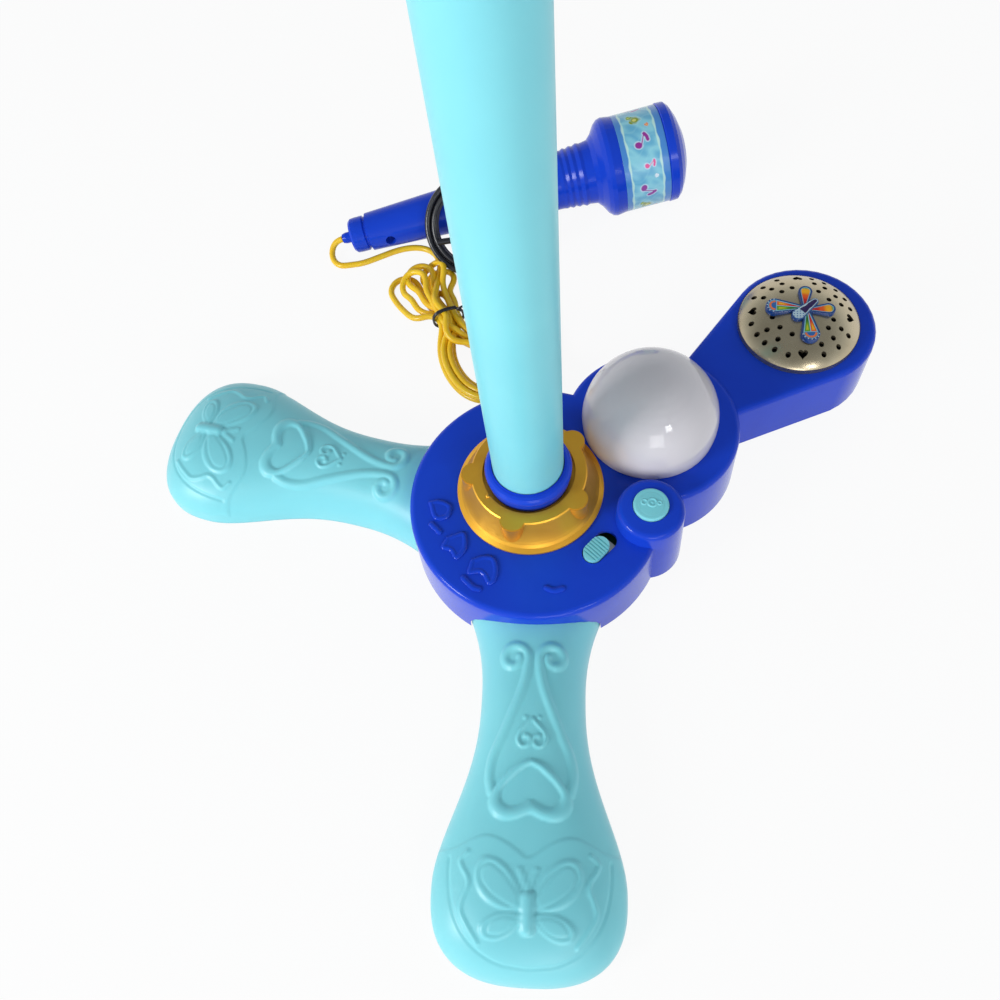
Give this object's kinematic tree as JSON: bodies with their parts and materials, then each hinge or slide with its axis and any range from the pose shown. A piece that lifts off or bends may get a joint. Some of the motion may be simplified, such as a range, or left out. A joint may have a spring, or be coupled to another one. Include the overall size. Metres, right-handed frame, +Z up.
{
  "type": "toy microphone",
  "caption": "Toy microphone set: corded hand-held microphone with a telescopic floor stand on a hub with paddle feet, a light dome, a speaker arm, a push button and a slide switch.",
  "frame": {"origin": "on the floor, where the pole's axis meets the underside of the base plate", "axes": "+Z up along the pole, the front foot points towards -Y, the speaker arm towards +X and +Y"},
  "size_m": [0.3714, 0.4546, 0.5729],
  "materials": {
    "hub_blue": "gloss",
    "light_blue": "satin",
    "gold": "satin",
    "milky": "gloss",
    "champagne": "satin",
    "steel": "satin",
    "board": "matte",
    "led": "gloss",
    "cone": "matte",
    "ferrite": "matte",
    "print": "gloss",
    "cord_yellow": "satin",
    "black": "satin",
    "cell": "satin"
  },
  "bodies": {
    "base": {"hub_shell": "hub_blue", "bottom_plate": "hub_blue", "front_foot": "light_blue", "left_foot": "light_blue", "foot_screws": "steel", "plate_screws": "steel", "tube_socket": "hub_blue", "lower_tube": "light_blue", "height_socket": "hub_blue", "light_dome": "milky", "lamp_board": "board", "lamp_leds": "led", "speaker_grille": "champagne", "speaker_frame": "steel", "speaker_cone": "cone", "speaker_magnet": "ferrite", "butterfly_badge": "print", "control_board": "board", "button_spring": "steel", "switch_body": "steel", "battery_cells": "cell", "battery_contacts": "steel", "battery_door": "hub_blue", "door_screw": "steel", "mic_jack": "black", "cord_plug": "cord_yellow", "cord_tail": "cord_yellow", "cord_hank": "cord_yellow", "cord_tie": "black", "audio_relief": "black", "audio_lead": "black"},
    "locking_nut": {"lock_nut": "gold"},
    "height_ring": {"height_nut": "gold"},
    "telescope": {"upper_tube": "light_blue", "tube_bush": "black", "holder_bracket": "hub_blue", "holder_pin": "steel"},
    "clip": {"mic_holder": "hub_blue"},
    "button": {"play_button": "light_blue"},
    "slider": {"power_switch": "light_blue"},
    "microphone": {"mic_front_shell": "hub_blue", "mic_back_shell": "hub_blue", "mic_band": "print", "mic_capsule": "black", "mic_screws": "steel", "mic_relief": "hub_blue", "cord_lead": "cord_yellow", "audio_coil": "black", "audio_plug": "black"}
  },
  "joints": [
    {"name": "pole_height", "type": "slide", "parent": "base", "child": "telescope", "axis": [0, 0, 1], "range_m": [0, 0.3]},
    {"name": "height_ring_turn", "type": "hinge", "parent": "base", "child": "height_ring", "pos_m": [0, 0, 0.49], "axis": [0, 0, 1], "range_deg": [0, 90]},
    {"name": "lock_nut_turn", "type": "hinge", "parent": "base", "child": "locking_nut", "pos_m": [0, 0, 0.042], "axis": [0, 0, 1], "range_deg": [0, 90]},
    {"name": "clip_tilt", "type": "hinge", "parent": "telescope", "child": "clip", "pos_m": [0, 0, 0.538], "axis": [1, 0, 0], "range_deg": [-30, 60]},
    {"name": "button_press", "type": "slide", "parent": "base", "child": "button", "axis": [0, 0, -1], "range_m": [0, 0.0014], "stiffness_N_per_m": 500, "springref_m": -0.0004, "deforming": ["button_spring"]},
    {"name": "switch_slide", "type": "slide", "parent": "base", "child": "slider", "axis": [0.6756, 0.7373, 0], "range_m": [0, 0.0044]},
    {"name": "microphone_lift", "type": "slide", "parent": "base", "child": "microphone", "axis": [0, 0, 1], "range_m": [0, 0.08]}
  ]
}
